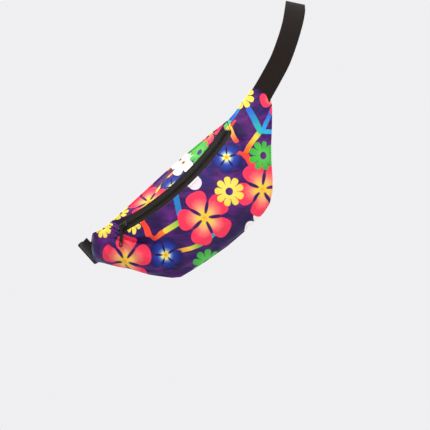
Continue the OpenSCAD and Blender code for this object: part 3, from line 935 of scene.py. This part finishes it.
def make_front():
    points, uv = front_surface()
    x, z = uv[..., 0], uv[..., 1]
    lift = np.zeros(x.shape)
    for x1, z1, x2, z2, width, height in FOLDS:
        lift += height * ridge(x, z, (x1, z1), (x2, z2), width)
    t = np.linspace(0, 1, FINE_ROWS)[None]
    hold = np.clip(np.sin(np.pi * t) * 3, 0, 1)
    obj = grid_object("front_cloth", points, uv, PRINT)
    on_wing = np.clip((np.abs(x - 8) - 118) / 22, 0, 1)
    settle(obj, border(*x.shape), 16, -0.012, 0.5, 4.0, mix(3.0, 0.5, on_wing).ravel())
    surface = (read(obj.data, "co") / MM).reshape(points.shape)
    surface = surface + grid_normals(surface) * (lift * hold)[..., None]
    for x1, z1, x2, z2, width, shift in SLUMPS:
        right = unit(np.array([z2 - z1, 0.0, x1 - x2]))
        surface = surface + right * (shift * hold * ridge(x, z, (x1, z1), (x2, z2), width))[..., None]
    move(obj, surface * MM)
    thicken(obj, FABRIC_T, 1)
    dress(obj, "pack", "printed_fabric", "front_panel")
    return surface, uv


def make_top():
    n, m = FINE_MID, 14
    phi = np.linspace(ZIP_FROM, ZIP_TO, n)
    low = zip_point(phi, opening(phi), 0.5)
    x = low[:, 0]
    f = (x - x[0]) / (x[-1] - x[0])
    seam_u = mix(ZIP_LEFT + 4, ZIP_RIGHT - 4, f)
    high = wrap(seam_u, edge(seam_u, UPPER_EDGE), SEAM_D)
    t = np.linspace(0, 1, m)
    arch = np.sin(np.pi * t)[None]
    crown = 3 * arch * np.sin(np.pi * f)[:, None]
    points = mix(low[:, None], high[:, None], t[None, :, None]) + crown[..., None] * np.array([0, -0.6, 0.8])
    height = np.linalg.norm(high - low, axis=1)
    uv = grid_uv(x, TOP_V + t[None] * height[:, None])
    wave = np.sin(x / 17.0)[:, None] * arch * 0.8 + np.sin(x / 7.3 + 1)[:, None] * arch * 0.3
    points = points + grid_normals(points) * wave[..., None]
    obj = grid_object("top_cloth", points, uv, PRINT)
    settle(obj, border(n, m), 12, -0.01, 0.3, 2.5, np.full(n * m, 1.5))
    surface = (read(obj.data, "co") / MM).reshape(points.shape)
    thicken(obj, FABRIC_T, 1)
    dress(obj, "pack", "printed_fabric", "top_panel")
    return surface


def make_end_turns():
    """Printed cloth that turns round the two ends of the zip, gathered up to the top seam."""
    turn = t = np.linspace(0, 1, 16)
    for side, phi, seam, out, replaced in (
        ("left", ZIP_FROM, ZIP_LEFT, -1, ()),
        ("right", ZIP_TO, ZIP_RIGHT, 1, ("zip_end_tabs",)),
    ):
        u = seam + out * mix(-4, 3, turn)
        low = zip_point(phi, mix(END_SHOW, -END_SHOW, turn), 0.5)
        high = wrap(u, edge(u, UPPER_EDGE), SEAM_D)
        points = mix(low[:, None], high[:, None], t[None, :, None])
        gather = np.sin(np.pi * t)[None] * (1.6 + 0.7 * np.sin(turn * 3.5 * np.pi))[:, None]
        points = points + np.array([0, -0.8, 0.3]) * gather[..., None]
        part = grid_object("zip_end_turn_" + side, points, grid_uv(flat_u(u), points[..., 2]), PRINT)
        thicken(part, 0.9)
        dress(part, "pack", "printed_fabric", *replaced)


front_points, front_uv = make_front()
top_points = make_top()
make_end_turns()


def make_front_lining():
    """Lining that follows the settled cloth a little behind it, between the zip's ends."""
    span = slice(MID_FIRST + 4, MID_LAST - 3)
    inner = (front_points - grid_normals(front_points) * 2.2)[span, 3:-3]
    obj = grid_object("front_lining_cloth", inner, front_uv[span, 3:-3], LINING)
    thicken(obj, 0.4)
    dress(obj, "pack", "lining", "front_lining")


make_front_lining()

# ---- Zip ----


def make_tape(name, s1, s2, node):
    """Woven tape with the two raised cords that run along it."""
    phi = np.linspace(ZIP_FROM, ZIP_TO, 240)
    s = np.linspace(s1, s2, 22)
    across = np.abs(s)
    cords = (5.2, 0.6), (9.6, 0.5)
    lift = sum(0.45 * np.exp(-(((across - at) / width) ** 2)) for at, width in cords)
    points = zip_point(phi[:, None], s[None], lift[None])
    obj = grid_object(name, points, grid_uv(phi * ZIP_R, s[None]), TAPE)
    thicken(obj, 0.6)
    dress(obj, "pack", "zip_tape", node)


COIL_PITCH, COIL_INSET, FILAMENT_R = 1.8, math.radians(1.1), 0.34


def make_coil(name, side, node):
    """One side of the coil: turns of a single filament, half a pitch behind the other side's."""
    turns = int((ZIP_TO - ZIP_FROM - 2 * COIL_INSET) * ZIP_R / COIL_PITCH)
    per_turn = 12
    k = np.arange(turns * per_turn + 1) / per_turn
    phase = 2 * math.pi * k
    phi = ZIP_FROM + COIL_INSET + (k + (0.5 if side < 0 else 0.0)) * COIL_PITCH / ZIP_R
    middle, reach, lift, rise = 1.5, 1.72, 1.15, 0.85
    s = side * (middle + reach * np.cos(phase))
    h = lift + rise * np.sin(phase)
    verts, faces = tube_arrays(zip_point(phi, s, h), FILAMENT_R, 6)
    obj = new_object(name, verts, faces, NYLON)
    dress(obj, "pack", "zip_coil", node)


make_tape("zip_tape_upper_woven", CHAIN_GAP * 0.4, TAPE_W, "zip_tape_upper")
make_tape("zip_tape_lower_woven", -TAPE_W, -CHAIN_GAP * 0.4, "zip_tape_lower")
make_coil("zip_coil_upper_turns", 1, "zip_coil_upper")
make_coil("zip_coil_lower_turns", -1, "zip_coil_lower")

# ---- Webbing ----

# The strap's visual piece is in two at SPLIT_Y: the main run rides the pack, and the end piece is not put on
# a body.
SPLIT_Y = 228.0
STRAP_CURVE = [
    (214, 3.6, 68, 10), (229, 7.4, 73.5, 16), (240, 11, 77.5, 20), (265, 19, 86, 22), (300, 28, 99, 26),
    (335, 42, 117, 30), (365, 62, 135, 34), (391, 91, 154, 36), (407, 123, 166, 36), (413, 156, 169, 36),
    (408, 189, 160, 34), (386, 221, 143, 32), (342, 244, 120, 26), (292, 259, 101, 20), (242, 267, 86, 14),
    (190, 271, 73, 8), (130, 272, 66, 4), (60, 272, 64, 0), (-10, 272, 66, 0), (-60, 271, 70, 0),
    (-105, 269, 76, 0), (-145, 264, 80, 0), (-178, 254, 80.5, 0), (-198, 242, 77, 0),
    (SIDE_X + 1.6, 233, SIDE_Z, 0), (SIDE_X + 1, SPLIT_Y, SIDE_Z, 0),
]
LAY = WEB_T / 2 + 0.25
TURN_R = BAR_R + 0.2 + WEB_T / 2
# The two layers at the plug lie close above SPREAD_Y, and part below it to go round the ladder's bar
SPREAD_Y, BLEND_END_Y, LADDER_TOP_Y = 171, 168.0, LADDER_Y + LADDER_PITCH + 4


def spline(points, cuts):
    p = np.asarray(points, float)
    out = []
    for i in range(len(p) - 1):
        a, b, c, d = p[max(i - 1, 0)], p[i], p[i + 1], p[min(i + 2, len(p) - 1)]
        for k in range(cuts):
            t = k / cuts
            square, cube = 2 * a - 5 * b + 4 * c - d, 3 * b - a - 3 * c + d
            out.append(0.5 * (2 * b + (c - a) * t + square * t**2 + cube * t**3))
    return np.array(out + [p[-1]])


def web_profile():
    """Cross-section of webbing as (across, out), a little thicker towards its edges."""
    w, t = WEB_W / 2, WEB_T / 2
    across = np.linspace(-w + 0.6, w - 0.6, 21)
    bead = 0.12 * np.exp(-(((np.abs(across) - (w - 1.6)) / 1.0) ** 2))
    top = [(a, t * 0.9 + b) for a, b in zip(across, bead)]
    right = [(w - 0.15, t * 0.55), (w, 0.0), (w - 0.15, -t * 0.55)]
    low = [(-a, -(t * 0.9 + b)) for a, b in zip(across, bead)]
    left = [(-w + 0.15, -t * 0.55), (-w, 0.0), (-w + 0.15, t * 0.55)]
    return np.array(top + right + low + left)


def make_webbing(name, route):
    """Webbing along a route of X, Y, Z and the lean of its width from upright, in degrees."""
    route = np.asarray(route, float)
    place, lean = route[:, :3], np.radians(route[:, 3])
    ahead = np.gradient(place, axis=0)
    t = unit(ahead)
    up = np.stack([-np.sin(lean), np.zeros(len(lean)), np.cos(lean)], -1)
    across = unit(up - t * np.sum(up * t, -1, keepdims=True))
    out = unit(np.cross(t, across))
    section = web_profile()
    points = place[:, None] + across[:, None] * section[None, :, :1] + out[:, None] * section[None, :, 1:]
    uv = grid_uv(distance_run(place), section[None, :, 0])
    n, m = points.shape[:2]
    obj = new_object(name, points.reshape(-1, 3), grid_faces(n, m, m) + end_caps(n, m), WEBBING)
    set_uv(obj, uv.reshape(-1, 2) * MM)
    return obj


def leg(x1, y1, x2, y2, count):
    """Upright points from one place to another, X counted from the buckle, without the last point."""
    a, b = (np.array((SIDE_X + x, y, SIDE_Z, 0), float) for x, y in ((x1, y1), (x2, y2)))
    return [tuple(mix(a, b, k / count)) for k in range(count)]


def round_bar(y, first, last):
    """Upright points round a bar of the buckle, from one angle to another."""
    angles = np.radians(np.arange(first, last + 1, 15))
    return [(SIDE_X + TURN_R * math.cos(a), y - TURN_R * math.sin(a), SIDE_Z, 0) for a in angles]


main_route = spline(STRAP_CURVE, 8)
end_route = np.array(
    leg(1, SPLIT_Y + 0.6, LAY, SPREAD_Y, 16)
    + leg(LAY, SPREAD_Y, TURN_R, LADDER_TOP_Y, 6)
    + leg(TURN_R, LADDER_TOP_Y, TURN_R, LADDER_Y, 5)
    + round_bar(LADDER_Y, 0, 180)
    + leg(-TURN_R, LADDER_Y + 3, -TURN_R, LADDER_TOP_Y, 5)
    + leg(-TURN_R, LADDER_TOP_Y, -LAY, SPREAD_Y, 6)
    + leg(-LAY, SPREAD_Y, -LAY, TAIL_END_Y, 16)
    + [(SIDE_X - LAY, TAIL_END_Y, SIDE_Z, 0)]
)
dress(make_webbing("strap_webbing", main_route), "pack", "webbing", "strap")
strap_end = make_webbing("strap_end_webbing", end_route)
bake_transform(strap_end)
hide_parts("strap")


def make_anchor():
    d = BACK_D + 0.2 + WEB_T / 2
    arc = [tuple(wrap(u, SIDE_Z, d)) + (0,) for u in np.arange(-184, -244.1, -2.0)]
    run_in = [(SIDE_X - 0.4, 90, SIDE_Z, 0), (SIDE_X - TURN_R + 0.3, 95, SIDE_Z, 0)]
    run_out = [(SIDE_X + 2.1, 92, SIDE_Z, 0), (SIDE_X + 2.3, 86, SIDE_Z, 0), (SIDE_X + 2.3, 80, SIDE_Z, 0)]
    obj = make_webbing("anchor_loop", arc + run_in + round_bar(BAR_Y, 180, 360) + run_out)
    dress(obj, "pack", "webbing", "anchor_webbing")


make_anchor()

# ---- Hardware ----

for node, name, width, body, slot, mat in [
    ("slider_body", "slider_cast", 0.35, "slider", "dark_metal", METAL),
    ("pull_tab", "puller_moulded", 0.4, "puller", "puller", RUBBER),
    ("strap_keeper", "keeper_loop", 0.4, "keeper", "elastic", ELASTIC),
    ("buckle_socket", "socket_moulded", 0.7, "pack", "buckle", PLASTIC),
    ("buckle_plug", "plug_moulded", 0.6, "plug", "buckle", PLASTIC),
    ("latch_arm_upper", "latch_upper_moulded", 0.5, "arm_upper", "buckle", PLASTIC),
    ("latch_arm_lower", "latch_lower_moulded", 0.5, "arm_lower", "buckle", PLASTIC),
]:
    piece = rounded_copy(node, name, width)
    give(piece.data, mat)
    set_uv(piece, (read(piece.data, "co") / MM)[:, [1, 2]] * MM)
    dress(piece, body, slot)

for node, mat in [
    ("zip_stops", METAL), ("slider_bridge", METAL), ("pull_ring", METAL),
    ("back_lining", LINING), ("seam_binding", LINING),
    ("wing_foam_left", FOAM), ("wing_foam_right", FOAM), ("bartacks", THREAD),
]:
    give(nodes[node].data, mat)

# ---- Back panel, its pad and the turned edge ----


BACK_ROWS = 40


def make_back():
    u = STATIONS
    t = np.linspace(0, 1, BACK_ROWS)
    z = mix(edge(u, LOWER_EDGE)[:, None], edge(u, UPPER_EDGE)[:, None], t[None])
    pucker = 0.25 * np.sin(u / 2.6)[:, None] * np.exp(-np.minimum(t, 1 - t)[None] * 22)
    points = wrap(u[:, None], z, BACK_D - 0.1 - pucker)
    obj = grid_object("back_cloth_panel", points, grid_uv(u, z), BACK_CLOTH)
    thicken(obj, 1.0)
    dress(obj, "pack", "back_fabric", "back_panel")
    return points


def pad_outline(count):
    """The pad's outline in X and Z, evenly spaced."""
    corners = [((84, 54), 0, 20), ((-84, 54), 90, 20), ((-66, -48), 180, 18), ((66, -48), 270, 18)]
    loop = []
    for (x, z), start, r in corners:
        for k in range(0, 91, 9):
            a = math.radians(start + k)
            loop.append((x + r * math.cos(a), z + r * math.sin(a)))
    loop = np.array(loop + loop[:1])
    run = distance_run(loop)
    total = np.linalg.norm(np.diff(loop, axis=0), axis=1).sum()
    return sample(loop, run, np.arange(0, run[-1], total / count))[:count, :2]


PAD_T, PAD_CENTRE = 8.0, np.array([0.0, 6.0])
# The pad's sewn channels: side, distance from the middle and slant
CHANNELS = [(side, k) for side in (-1, 1) for k in (28, 62)]
CHANNEL_SLANT = 0.16


def pad_surface(x, z, inset):
    """How far the pad's mesh stands off the back panel: crowned, with four sewn channels."""
    height = 1.5 + (PAD_T - 1.5) * (1 - np.exp(-inset / 6.5))
    groove = np.zeros(x.shape)
    for side, k in CHANNELS:
        off = side * x - k - CHANNEL_SLANT * (z - 6)
        groove = np.maximum(groove, np.exp(-((off / 2.6) ** 2)))
    return height - np.minimum(4.2, height - 1.2) * groove


def make_pad():
    count, rings = 200, 48
    loop = pad_outline(count)
    reach = np.linalg.norm(loop - PAD_CENTRE, axis=1)
    s = np.sin(np.linspace(0.02, 1, rings) * np.pi / 2)
    flat = PAD_CENTRE + (loop - PAD_CENTRE)[None] * s[:, None, None]
    x, z = flat[..., 0], flat[..., 1]
    height = pad_surface(x, z, (1 - s)[:, None] * reach[None])
    points = np.stack([x, height - PAD_T, z], -1).reshape(-1, 3)
    rim = np.stack([loop[:, 0], np.full(count, -PAD_T), loop[:, 1]], -1)
    verts = np.concatenate([points, rim])
    faces = grid_faces(rings + 1, count, count) + end_caps(rings + 1, count)
    obj = new_object("back_pad_mesh", verts, faces, SPACER)
    face_outward(obj)
    set_uv(obj, verts[:, [0, 2]] * MM)
    dress(obj, "pack", "spacer_mesh", "back_pad")
    rows = []
    for side, k in CHANNELS:
        zz = np.linspace(-62, 70, 120)
        xx = side * (k + CHANNEL_SLANT * (zz - 6))
        inside = np.abs(xx) < np.interp(zz, [-66, 74], [74, 94])
        xx, zz = xx[inside], zz[inside]
        line = np.stack([xx, np.full(len(xx), 2.55 - PAD_T), zz], -1)
        rows.append((line, np.tile([0.0, 1.0, 0.0], (len(xx), 1))))
    edge_line = PAD_CENTRE + (loop - PAD_CENTRE) * 0.975
    inset = 0.025 * reach
    h = pad_surface(edge_line[:, 0], edge_line[:, 1], inset)
    ring = np.stack([edge_line[:, 0], h - PAD_T + 0.1, edge_line[:, 1]], -1)
    rows.append((np.concatenate([ring, ring[:1]]), np.tile([0.0, 1.0, 0.0], (count + 1, 1))))
    stitches("pad_stitches", rows, radius=0.33, length=3.4, gap=1.1)


back_points = make_back()
make_pad()


def make_edge_roll():
    """The seam all round the pack, turned so that a thin roll of printed cloth shows."""
    u = STATIONS
    low_z, high_z = edge(u, LOWER_EDGE), edge(u, UPPER_EDGE)
    low = np.column_stack([wrap(u, low_z, SEAM_D), flat_u(u), low_z])
    on_top = (u > ZIP_LEFT + 2) & (u < ZIP_RIGHT - 2)
    high = np.column_stack([wrap(u, high_z, SEAM_D), flat_u(u), np.where(on_top, TOP_V + 26, high_z)])
    loop = np.concatenate([low, high[::-1]])
    sides = 10
    verts, faces = tube_arrays(loop[:, :3], 1.25, sides, closed=True)
    obj = new_object("edge_roll", verts, faces, PRINT)
    face_outward(obj)
    set_uv(obj, np.repeat(loop[:, 3:], sides, axis=0) * MM)
    dress(obj, "pack", "printed_fabric")


make_edge_roll()

# ---- Stitching ----


def grid_line(points, row, cut=slice(None)):
    """Points and outward normals on the line between two rows of a grid."""
    low = int(math.floor(row))
    part = row - low
    normals = grid_normals(points)
    line = mix(points[:, low], points[:, low + 1], part)
    return line[cut], unit(mix(normals[:, low], normals[:, low + 1], part))[cut]


zip_span = slice(MID_FIRST + 1, MID_LAST)
stitches("zip_topstitch", [
    grid_line(front_points, FINE_ROWS - 2.3, zip_span),
    grid_line(top_points, 1.4, slice(2, -2)),
])
back_lines = [grid_line(back_points, row) for row in (1.6, BACK_ROWS - 2.8)]
stitches("back_edge_stitch", [(line, -normals) for line, normals in back_lines], length=3.2, gap=1.1)
